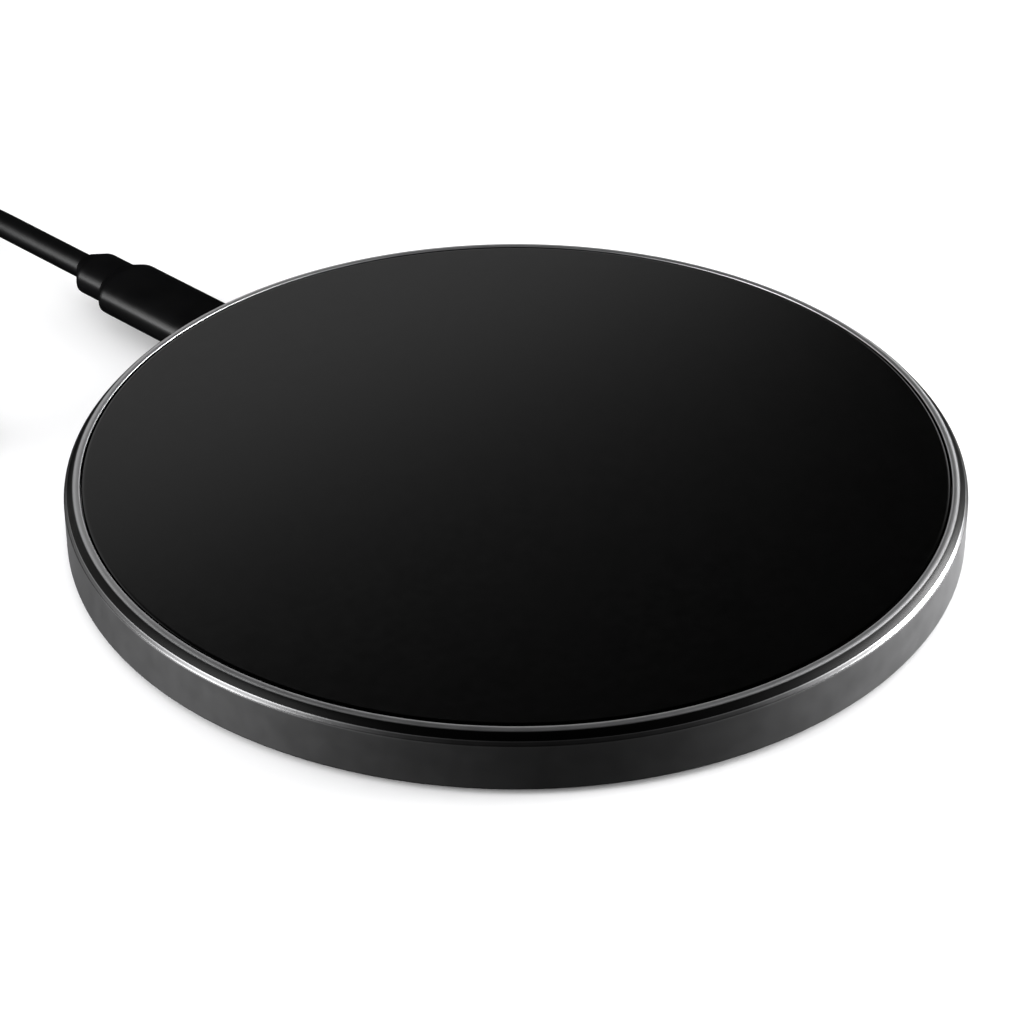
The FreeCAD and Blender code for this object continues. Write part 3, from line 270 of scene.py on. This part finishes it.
def crowned_outline(width, thickness, steps=64, power=2.5):
    """Points round an oval whose flats are slightly crowned, about the origin."""
    points = []
    for step in range(steps):
        angle = 2 * math.pi * step / steps
        across = math.cos(angle)
        up = math.sin(angle)
        points.append(
            (
                math.copysign(abs(across) ** (2 / power), across) * width / 2,
                math.copysign(abs(up) ** (2 / power), up) * thickness / 2,
            )
        )
    return points


def skin_along_y(build, stations, axis_x, axis_z, outline=slot_outline):
    """Closed skin over flat sections at stations of (place along Y, width, thickness)."""
    rings = [
        [
            build.verts.new((axis_x + across, along, axis_z + up))
            for across, up in outline(width, thickness)
        ]
        for along, width, thickness in stations
    ]
    count = len(rings[0])
    for ring, following in zip(rings, rings[1:]):
        for step in range(count):
            after = (step + 1) % count
            build.faces.new((ring[step], ring[after], following[after], following[step]))
    build.faces.new(rings[0])
    build.faces.new(rings[-1])


def cut_away(piece, cutters):
    """Removes closed bodies, given as functions that build them, from a piece."""
    for number, make in enumerate(cutters):
        build = bmesh.new()
        make(build)
        bmesh.ops.recalc_face_normals(build, faces=build.faces)
        mesh = bpy.data.meshes.new(f"cutter_{number}")
        build.to_mesh(mesh)
        build.free()
        tool = bpy.data.objects.new(f"cutter_{number}", mesh)
        bpy.context.scene.collection.objects.link(tool)
        change = piece.modifiers.new("hole", "BOOLEAN")
        change.operation = "DIFFERENCE"
        change.solver = "EXACT"
        change.object = tool
        cut = bpy.data.meshes.new_from_object(
            piece.evaluated_get(bpy.context.evaluated_depsgraph_get())
        )
        piece.modifiers.remove(change)
        piece.data = cut
        bpy.data.objects.remove(tool)
    build = bmesh.new()
    build.from_mesh(piece.data)
    for edge in build.edges:
        edge.smooth = not (edge.is_manifold and edge.calc_face_angle() > CREASE)
    build.to_mesh(piece.data)
    build.free()


RING_SEGMENTS = 360

# Outline of the rim as (radius, height, reach of the rounding), in millimetres.
RIM_OUTLINE = (
    (47.5, 0.5, 0.0),
    (49.7, 0.5, 0.06),
    (50.0, 0.8, 0.1),
    (50.0, 6.15, 0.2),
    (49.65, 6.5, 0.2),
    (49.3, 6.96, 0.0),
    (48.98, 7.24, 0.12),
    (48.66, 7.42, 0.24),
    (48.15, 7.36, 0.24),
    (48.15, 6.05, 0.0),
    (45.5, 6.05, 0.0),
    (45.5, 5.2, 0.0),
    (47.5, 5.2, 0.0),
)
PLATE_OUTLINE = (
    (0.0, 6.25, 0.0),
    (48.0, 6.25, 0.0),
    (48.0, 7.35, 0.38),
    (0.0, 7.35, 0.0),
)


def turned_outline(rows):
    corners = [(Vector((radius, height)) * MM, reach * MM) for radius, height, reach in rows]
    return eased_corners(corners, True)


rim_build = bmesh.new()
lathe(rim_build, turned_outline(RIM_OUTLINE), RING_SEGMENTS)
rim = finish_mesh("rim", rim_build, "pad", "housing_ring")


# Each hole in the wall runs from inside the rim to beyond its outer face.
HOLE_REACH = 51.0 * MM
SOCKET_HOLE_START = 44.0 * MM
SOCKET_HOLE = (9.24 * MM, 3.46 * MM)
LIGHT_HOLE_START = 44.9 * MM
LIGHT_HOLE = (1.4 * MM, 1.39 * MM)
LIGHT_ACROSS = 9.5 * MM
LIGHT_HEIGHT = 4.45 * MM


def socket_opening(build):
    stations = ((SOCKET_HOLE_START, *SOCKET_HOLE), (HOLE_REACH, *SOCKET_HOLE))
    skin_along_y(build, stations, 0.0, PORT_HEIGHT)


def light_opening(build):
    stations = ((LIGHT_HOLE_START, *LIGHT_HOLE), (HOLE_REACH, *LIGHT_HOLE))
    skin_along_y(build, stations, LIGHT_ACROSS, LIGHT_HEIGHT)


cut_away(rim, (socket_opening, light_opening))

plate_build = bmesh.new()
lathe(plate_build, turned_outline(PLATE_OUTLINE), RING_SEGMENTS)
plate = finish_mesh("top_plate", plate_build, "pad", "top_glass")


def moulding(name, stands_for, rows, axis_x, axis_z, outline=crowned_outline):
    """Moulded piece along Y from rows of (place, width, thickness, rounding)."""
    corners = [(Vector(row[:3]) * MM, row[3] * MM) for row in rows]
    build = bmesh.new()
    skin_along_y(build, eased_corners(corners, False), axis_x, axis_z, outline)
    return finish_mesh(name, build, "lead", stands_for)


plug_grip = moulding(
    "plug_grip",
    "plug_body",
    (
        (50.3, 8.6, 4.4, 0.0),
        (50.3, 9.2, 5.0, 0.25),
        (64.8, 9.2, 5.0, 0.5),
        (66.0, 6.8, 4.6, 0.15),
        (66.0, 6.4, 4.2, 0.0),
    ),
    0.0,
    PORT_HEIGHT,
)
plug_neck = moulding(
    "plug_neck",
    "plug_strain_relief",
    (
        (65.9, 6.6, 4.4, 0.0),
        (70.3, 6.6, 4.4, 0.4),
        (72.0, 3.6, 3.5, 0.08),
        (72.0, 3.2, 3.19, 0.0),
    ),
    0.0,
    PORT_HEIGHT,
)
usb_grip = moulding(
    "usb_a_grip",
    "usb_a_body",
    (
        (72.0, 15.0, 7.4, 0.0),
        (72.0, 15.6, 8.0, 0.25),
        (88.0, 15.6, 8.0, 0.8),
        (90.0, 11.6, 6.8, 0.2),
        (90.0, 11.0, 6.2, 0.0),
    ),
    USB_A_AXIS,
    USB_A_HEIGHT,
    slot_outline,
)

STRAP_THICKNESS = 0.8 * MM
STRAP_WIDTH = 9.0 * MM
STRAP_CORNER = 1.8 * MM
STRAP_SINK = 0.4 * MM
STRAP_END = 4.5 * MM
STRAP_LAP = 0.3 * MM
STRAP_EDGE = 0.25 * MM
STRAP_RIB = 0.9 * MM
STRAP_RIB_DEPTH = 0.06 * MM


def evenly_spaced(path, spacing):
    """Points at equal steps along a path."""
    lengths = [(end - start).length for start, end in zip(path, path[1:])]
    count = max(2, round(sum(lengths) / spacing))
    points = []
    for step in range(count + 1):
        left = sum(lengths) * step / count
        leg = 0
        while leg < len(lengths) - 1 and left > lengths[leg]:
            left -= lengths[leg]
            leg += 1
        points.append(path[leg].lerp(path[leg + 1], min(1.0, left / lengths[leg])))
    return points


def band(build, path, closed, lift):
    """Ribbed band along a path of (along Y, height), with its width along X."""
    half = STRAP_WIDTH / 2
    rings = []
    for index, point in enumerate(path):
        if closed:
            ahead, behind = path[(index + 1) % len(path)], path[index - 1]
        else:
            ahead, behind = path[min(index + 1, len(path) - 1)], path[max(index - 1, 0)]
        way = (ahead - behind).normalized()
        outward = Vector((-way.y, way.x))
        rib = STRAP_RIB_DEPTH * (1 if index % 2 else 0)
        top = STRAP_THICKNESS - rib
        profile = (
            (-half, STRAP_EDGE),
            (-half + STRAP_EDGE, 0.0),
            (half - STRAP_EDGE, 0.0),
            (half, STRAP_EDGE),
            (half, top - STRAP_EDGE),
            (half - STRAP_EDGE, top),
            (-half + STRAP_EDGE, top),
            (-half, top - STRAP_EDGE),
        )
        ring = []
        for side, depth in profile:
            place = point + outward * (depth + lift)
            ring.append(build.verts.new((COIL_CENTRE.x + side, place.x, place.y)))
        rings.append(ring)
    followers = rings[1:] + rings[:1] if closed else rings[1:]
    for ring, following in zip(rings, followers):
        for step in range(len(ring)):
            after = (step + 1) % len(ring)
            build.faces.new((ring[step], ring[after], following[after], following[step]))
    if not closed:
        build.faces.new(rings[0])
        build.faces.new(rings[-1])

# The bundle of turns seen along X, as (along Y, height), with the strap sunk a little into it.
bundle_middle = COIL_CENTRE.y - MIDDLE_TURN
bundle_half_width = TURNS_ACROSS / 2 * CORD_DIAMETER
strap_low = bundle_middle - bundle_half_width + STRAP_SINK
strap_high = bundle_middle + bundle_half_width - STRAP_SINK
strap_top = LAYERS * CORD_DIAMETER - STRAP_SINK
strap_corners = [
    (Vector(place), STRAP_CORNER)
    for place in (
        (strap_low, strap_top),
        (strap_high, strap_top),
        (strap_high, STRAP_THICKNESS),
        (strap_low, STRAP_THICKNESS),
    )
]
strap_path = eased_corners(strap_corners, True)
strap_path.append(strap_path[0])
strap_build = bmesh.new()
band(strap_build, evenly_spaced(strap_path, STRAP_RIB / 2)[:-1], True, 0.0)
free_end = [
    Vector((strap_low + STRAP_CORNER, strap_top)),
    Vector((strap_low + STRAP_CORNER + STRAP_END, strap_top)),
]
band(strap_build, evenly_spaced(free_end, STRAP_RIB / 2), False, STRAP_LAP)
strap = finish_mesh("strap", strap_build, "lead", "cable_tie")

# ---------------------------------------------------------------- materials


class Material:
    """A principled material whose colour, roughness and bump come from nodes."""

    def __init__(self, name, roughness=0.5, metallic=0.0, specular=0.5):
        self.material = bpy.data.materials.new(name)
        self.material.use_nodes = True
        self.tree = self.material.node_tree
        self.shader = self.tree.nodes["Principled BSDF"]
        self.shader.inputs["Roughness"].default_value = roughness
        self.shader.inputs["Metallic"].default_value = metallic
        self.shader.inputs["Specular IOR Level"].default_value = specular
        self.height = None

    def node(self, kind, **settings):
        made = self.tree.nodes.new(kind)
        for key, value in settings.items():
            if key in made.inputs:
                made.inputs[key].default_value = value
            else:
                setattr(made, key, value)
        return made

    def link(self, output, target):
        self.tree.links.new(output, target)

    def place(self):
        """Object coordinates, which are the row frame on every piece."""
        return self.node("ShaderNodeTexCoord").outputs["Object"]

    def noise(self, scale, detail=3.0, stretch=None):
        """Even noise; stretch scales the coordinates along X, Y and Z first."""
        source = self.place()
        if stretch:
            mapping = self.node("ShaderNodeMapping")
            mapping.inputs["Scale"].default_value = stretch
            self.link(source, mapping.inputs["Vector"])
            source = mapping.outputs["Vector"]
        made = self.node("ShaderNodeTexNoise", Scale=scale, Detail=detail)
        self.link(source, made.inputs["Vector"])
        return made.outputs["Fac"]

    def remap(self, value, low, high, new_low, new_high):
        """Clamped linear map of a value."""
        made = self.node("ShaderNodeMapRange")
        made.inputs["From Min"].default_value = low
        made.inputs["From Max"].default_value = high
        made.inputs["To Min"].default_value = new_low
        made.inputs["To Max"].default_value = new_high
        self.link(value, made.inputs["Value"])
        return made.outputs["Result"]

    def math(self, operation, first, second):
        """One math step on two values."""
        made = self.node("ShaderNodeMath", operation=operation)
        self.link(first, made.inputs[0])
        self.link(second, made.inputs[1])
        return made.outputs[0]

    def mix(self, factor, first, second):
        """Colour between two colours."""
        made = self.node("ShaderNodeMix", data_type="RGBA")
        self.link(factor, made.inputs[0])
        for index, colour in ((6, first), (7, second)):
            if isinstance(colour, (tuple, list)):
                made.inputs[index].default_value = (*colour, 1.0)
            else:
                self.link(colour, made.inputs[index])
        return made.outputs[2]

    def blend(self, factor, first, second):
        """Value between two values."""
        made = self.node("ShaderNodeMix", data_type="FLOAT")
        self.link(factor, made.inputs[0])
        self.link(first, made.inputs[2])
        self.link(second, made.inputs[3])
        return made.outputs[0]

    def colour(self, factor, first, second):
        self.link(self.mix(factor, first, second), self.shader.inputs["Base Color"])

    def rough(self, value, low, high):
        mapped = self.remap(value, *NOISE_SPAN, low, high)
        self.link(mapped, self.shader.inputs["Roughness"])

    def bump(self, value, distance):
        """Fine relief of the given depth in metres, on top of any before it."""
        made = self.node("ShaderNodeBump")
        made.inputs["Strength"].default_value = 1.0
        made.inputs["Distance"].default_value = distance
        self.link(value, made.inputs["Height"])
        if self.height:
            self.link(self.height, made.inputs["Normal"])
        self.height = made.outputs["Normal"]
        self.link(self.height, self.shader.inputs["Normal"])


# The middle span of a noise value, which takes in nearly all of it.
NOISE_SPAN = (0.3, 0.7)
CLOUD_SPAN = (0.35, 0.65)
CLOUD_SCALE = 180.0
GLOSS_SCALE = 900.0


def moulded(name, dark, light, low, high, grain=9000.0, depth=4e-6, specular=0.5):
    """Moulded plastic: fine spark texture, faint clouding of colour and gloss."""
    made = Material(name, specular=specular)
    cloud = made.noise(CLOUD_SCALE)
    made.colour(made.remap(cloud, *CLOUD_SPAN, 0.0, 1.0), dark, light)
    made.rough(made.noise(GLOSS_SCALE), low, high)
    made.bump(made.noise(grain, 2.0), depth)
    return made.material


# Part of the light is scattered, so that a metal keeps its tone where it mirrors no light.
METAL_SHARE = 0.65


def metal(name, dark, light, low, high, scale=600.0, stretch=None, depth=1e-6):
    """Metal with faint tonal drift and fine surface lines or grain."""
    made = Material(name, metallic=METAL_SHARE)
    made.colour(made.noise(scale / 4, 2.0), dark, light)
    fine = made.noise(scale * 6, 3.0, stretch)
    made.rough(fine, low, high)
    made.bump(fine, depth)
    return made.material


# Levels on the rim where one finish ends and the next begins, and half the width of the change.
LIP_FOOT = 7.24 * MM
CHAMFER_TOP = 6.49 * MM
CHAMFER_FOOT = 6.08 * MM
FINISH_BLUR = 0.05 * MM


def finish_rim():
    """Black anodised metal, with a polished inner lip and a polished outer chamfer."""
    made = Material("rim_metal", metallic=1.0)
    split = made.node("ShaderNodeSeparateXYZ")
    made.link(made.place(), split.inputs[0])
    height = split.outputs["Z"]
    lip, bezel, above = (
        made.remap(height, level - FINISH_BLUR, level + FINISH_BLUR, 0.0, 1.0)
        for level in (LIP_FOOT, CHAMFER_TOP, CHAMFER_FOOT)
    )
    polished = made.math("MAXIMUM", lip, made.math("SUBTRACT", above, bezel))
    cloud = made.noise(120.0, 2.0)
    wall = made.mix(cloud, (0.70, 0.70, 0.71), (0.78, 0.78, 0.79))
    black = made.mix(bezel, wall, (0.008, 0.008, 0.008))
    chamfer_tone = made.mix(cloud, (0.14, 0.14, 0.142), (0.16, 0.16, 0.162))
    bright = made.mix(lip, chamfer_tone, (0.62, 0.62, 0.63))
    made.link(made.mix(polished, black, bright), made.shader.inputs["Base Color"])
    satin = made.remap(made.noise(400.0, 2.0), *NOISE_SPAN, 0.37, 0.39)
    glossy = made.remap(made.noise(400.0), *NOISE_SPAN, 0.30, 0.33)
    soft = made.remap(made.noise(300.0), *NOISE_SPAN, 0.42, 0.46)
    finish = made.blend(lip, made.blend(polished, satin, glossy), soft)
    made.link(finish, made.shader.inputs["Roughness"])
    made.bump(made.noise(3000.0, 2.0), 2e-8)
    return made.material


MATERIALS = {
    "black_metal": finish_rim(),
    "black_glass": moulded(
        "top_plate",
        (0.0001, 0.0001, 0.0001),
        (0.0003, 0.0003, 0.0003),
        0.225,
        0.255,
        14000.0,
        3e-8,
        0.4,
    ),
    "adhesive": moulded("bond_tape", (0.01, 0.01, 0.01), (0.02, 0.02, 0.02), 0.6, 0.75),
    "cover_plastic": moulded(
        "cover_plastic", (0.013, 0.013, 0.014), (0.019, 0.019, 0.020), 0.46, 0.58, 6000.0, 9e-6
    ),
    "grip_rubber": moulded(
        "grip_rubber", (0.022, 0.022, 0.023), (0.032, 0.032, 0.033), 0.72, 0.84, 7000.0, 8e-6, 0.3
    ),
    "screw_steel": metal("screw_steel", (0.30, 0.30, 0.31), (0.42, 0.42, 0.43), 0.28, 0.42),
    "board_laminate": moulded(
        "board_laminate", (0.006, 0.060, 0.028), (0.012, 0.090, 0.042), 0.3, 0.4
    ),
    "shell_steel": metal(
        "shell_steel",
        (0.60, 0.60, 0.61),
        (0.68, 0.68, 0.69),
        0.22,
        0.34,
        700.0,
        (1.0, 0.05, 1.0),
        1e-7,
    ),
    "black_nylon": moulded("black_nylon", (0.010, 0.010, 0.011), (0.018, 0.018, 0.019), 0.4, 0.55),
    "gold_contacts": metal("gold_contacts", (0.80, 0.56, 0.20), (0.88, 0.66, 0.28), 0.18, 0.28),
    "chip_black": moulded("chip_black", (0.010, 0.010, 0.011), (0.020, 0.020, 0.021), 0.35, 0.5),
    "ceramic_tan": moulded("ceramic_tan", (0.34, 0.22, 0.12), (0.46, 0.32, 0.19), 0.3, 0.45),
    "ferrite_grey": moulded(
        "ferrite_grey", (0.022, 0.022, 0.024), (0.040, 0.040, 0.043), 0.5, 0.65
    ),
    "led_clear": moulded("led_clear", (0.70, 0.70, 0.66), (0.80, 0.80, 0.77), 0.12, 0.2),
    "light_pipe_clear": moulded(
        "light_pipe", (0.20, 0.21, 0.22), (0.28, 0.29, 0.30), 0.18, 0.28
    ),
    "tray_plastic": moulded("tray_plastic", (0.42, 0.42, 0.40), (0.52, 0.52, 0.50), 0.4, 0.5),
    "coil_copper": metal("coil_copper", (0.48, 0.19, 0.075), (0.62, 0.27, 0.12), 0.3, 0.45),
    "foam_grey": moulded(
        "foam_grey", (0.06, 0.06, 0.06), (0.10, 0.10, 0.10), 0.85, 0.95, 2500.0, 4e-5
    ),
    "solder_tin": metal("solder_tin", (0.46, 0.47, 0.48), (0.58, 0.59, 0.60), 0.2, 0.35),
    "plug_plastic": moulded(
        "plug_plastic",
        (0.0020, 0.0020, 0.0022),
        (0.0032, 0.0032, 0.0035),
        0.30,
        0.34,
        6000.0,
        1.5e-7,
        0.5,
    ),
    "cord_rubber": moulded(
        "cord_jacket",
        (0.0020, 0.0020, 0.0022),
        (0.0032, 0.0032, 0.0035),
        0.33,
        0.38,
        6000.0,
        1.5e-7,
        0.5,
    ),
    "strap_fabric": moulded(
        "strap_weave", (0.012, 0.012, 0.013), (0.026, 0.026, 0.028), 0.8, 0.92, 3500.0, 4e-5, 0.2
    ),
    "tongue_white": moulded("tongue_white", (0.70, 0.70, 0.67), (0.78, 0.78, 0.75), 0.35, 0.45),
}

slot_of = {row["node"]: row["material_slot"] for row in frame["record"]["subparts"]}
for name, node in nodes.items():
    node.data.materials.clear()
    node.data.materials.append(MATERIALS[slot_of[name]])
for piece, finish in (
    (lead_cord, "cord_rubber"),
    (rim, "black_metal"),
    (plate, "black_glass"),
    (plug_grip, "plug_plastic"),
    (plug_neck, "plug_plastic"),
    (usb_grip, "plug_plastic"),
    (strap, "strap_fabric"),
):
    piece.data.materials.clear()
    piece.data.materials.append(MATERIALS[finish])

# ------------------------------------------------------- floor and lighting

floor_mesh = bpy.data.meshes.new("floor")
floor_build = bmesh.new()
bmesh.ops.create_grid(floor_build, x_segments=1, y_segments=1, size=3.0)
floor_build.to_mesh(floor_mesh)
floor_build.free()
floor = bpy.data.objects.new("floor", floor_mesh)
bpy.context.scene.collection.objects.link(floor)
floor.location.z = -0.02 * MM
floor_material = Material("floor_white", roughness=0.9, specular=0.0)
floor_material.colour(
    floor_material.noise(3.0), (0.90, 0.90, 0.905), (0.92, 0.92, 0.925)
)
floor_mesh.materials.append(floor_material.material)

# Black gloss shows only the soft boxes: neither the floor nor the sky is seen in it.
floor.visible_glossy = False
world = bpy.data.worlds.new("studio")
bpy.context.scene.world = world
world.use_nodes = True
world.cycles_visibility.glossy = False
backdrop = world.node_tree.nodes["Background"]
backdrop.inputs["Color"].default_value = (1.0, 1.0, 1.0, 1.0)
backdrop.inputs["Strength"].default_value = 0.85
bpy.context.scene.view_settings.view_transform = "Standard"


def soft_light(name, azimuth, elevation, distance, width, height, radiance):
    """A soft box aimed at the pad; azimuth is counted from the camera, to the right."""
    data = bpy.data.lights.new(name, "AREA")
    data.shape = "RECTANGLE"
    data.size = width
    data.size_y = height
    data.energy = radiance * math.pi * width * height
    light = bpy.data.objects.new(name, data)
    turn = CAMERA_AZIMUTH + math.radians(azimuth)
    rise = math.radians(elevation)
    way = Vector(
        (
            math.sin(turn) * math.cos(rise),
            -math.cos(turn) * math.cos(rise),
            math.sin(rise),
        )
    )
    light.location = way * distance
    light.rotation_mode = "QUATERNION"
    light.rotation_quaternion = (-way).to_track_quat("-Z", "Y")
    bpy.context.scene.collection.objects.link(light)
    return light


left_box = soft_light("left_box", -72.0, 20.0, 0.8, 0.42, 0.56, 7.0)
right_box = soft_light("right_box", 98.0, 20.0, 0.8, 0.50, 0.56, 3.5)
left_strip = soft_light("left_strip", -72.0, 8.0, 0.40, 0.14, 0.10, 9.0)
right_strip = soft_light("right_strip", 100.0, 8.0, 0.40, 0.26, 0.10, 36.0)
back_left_card = soft_light("back_left_card", -137.0, 18.5, 0.31, 0.72, 0.23, 0.56)
soft_light("back_right_card", 150.0, 12.0, 0.60, 0.20, 0.24, 1.6)


def light_only(light, pieces):
    """Makes a light reach these pieces and nothing else."""
    receivers = bpy.data.collections.new(f"{light.name}_receivers")
    for piece in pieces:
        receivers.objects.link(piece)
    light.light_linking.receiver_collection = receivers


# The side lights don't reach the plate, which would mirror them as white from some sides. The
# card behind doesn't reach the lead, so the plug and cord stay black on top.
all_but_plate = [
    piece
    for piece in bpy.context.scene.objects
    if piece.type in ("MESH", "CURVE") and piece != plate
]
for side_light in (left_box, right_box, left_strip, right_strip):
    light_only(side_light, all_but_plate)
light_only(back_left_card, (plate, rim, floor))
